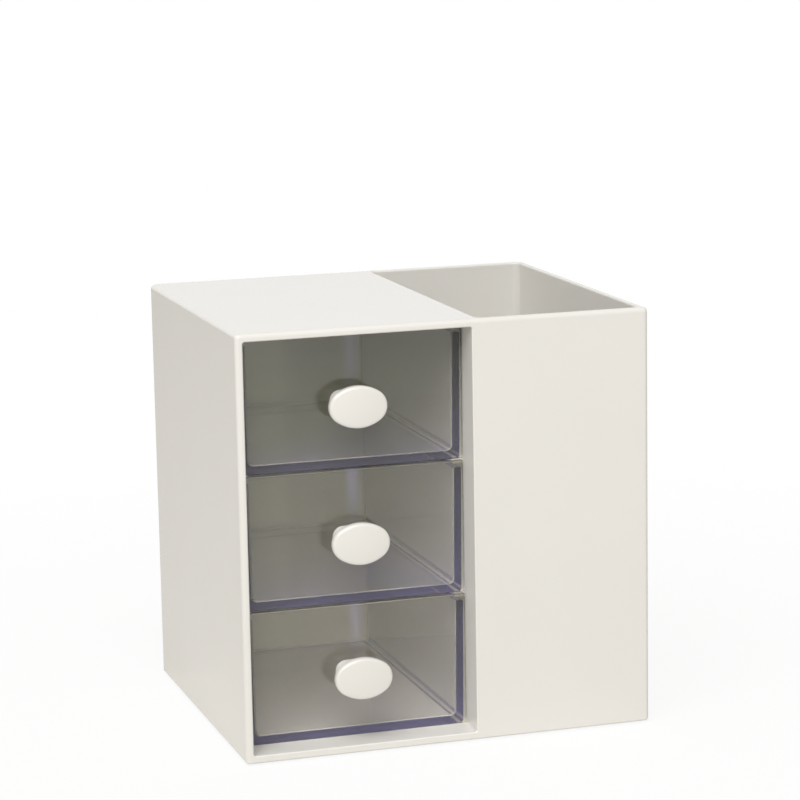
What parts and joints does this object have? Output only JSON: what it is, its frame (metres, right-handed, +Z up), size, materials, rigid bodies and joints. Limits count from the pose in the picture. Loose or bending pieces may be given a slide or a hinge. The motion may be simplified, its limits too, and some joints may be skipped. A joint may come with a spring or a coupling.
{
  "type": "desk organizer with drawers and pen bin",
  "caption": "Glossy box-shaped desk organizer with a stack of clear sliding drawers with oval knobs on the left and a tall open pen bin on the right.",
  "frame": {"origin": "on the table, under the middle of the case's outline seen from above", "axes": "+X to the right as seen from the front, +Y to the back, +Z up; the drawers open towards -Y"},
  "size_m": [0.1094, 0.0956, 0.1106],
  "materials": {
    "white_abs": "glossy warm white, injection moulded",
    "clear_polystyrene": "clear polished, with a blue-violet tint at its edges",
    "knob_abs": "glossy warm white, injection moulded",
    "screw_steel": "zinc-plated",
    "pad_foam": "pale matt anti-slip rubber"
  },
  "bodies": {
    "case": {"case": "white_abs", "pad_front_left": "pad_foam", "pad_front_right": "pad_foam", "pad_back_left": "pad_foam", "pad_back_right": "pad_foam"},
    "drawer_bottom": {"drawer_bottom": "clear_polystyrene", "knob_bottom": "knob_abs", "screw_bottom": "screw_steel"},
    "drawer_middle": {"drawer_middle": "clear_polystyrene", "knob_middle": "knob_abs", "screw_middle": "screw_steel"},
    "drawer_top": {"drawer_top": "clear_polystyrene", "knob_top": "knob_abs", "screw_top": "screw_steel"}
  },
  "joints": [
    {"name": "drawer_bottom_slide", "type": "slide", "parent": "case", "child": "drawer_bottom", "axis": [0, -1, 0], "range_m": [0, 0.065]},
    {"name": "drawer_middle_slide", "type": "slide", "parent": "case", "child": "drawer_middle", "axis": [0, -1, 0], "range_m": [0, 0.065]},
    {"name": "drawer_top_slide", "type": "slide", "parent": "case", "child": "drawer_top", "axis": [0, -1, 0], "range_m": [0, 0.065]}
  ]
}
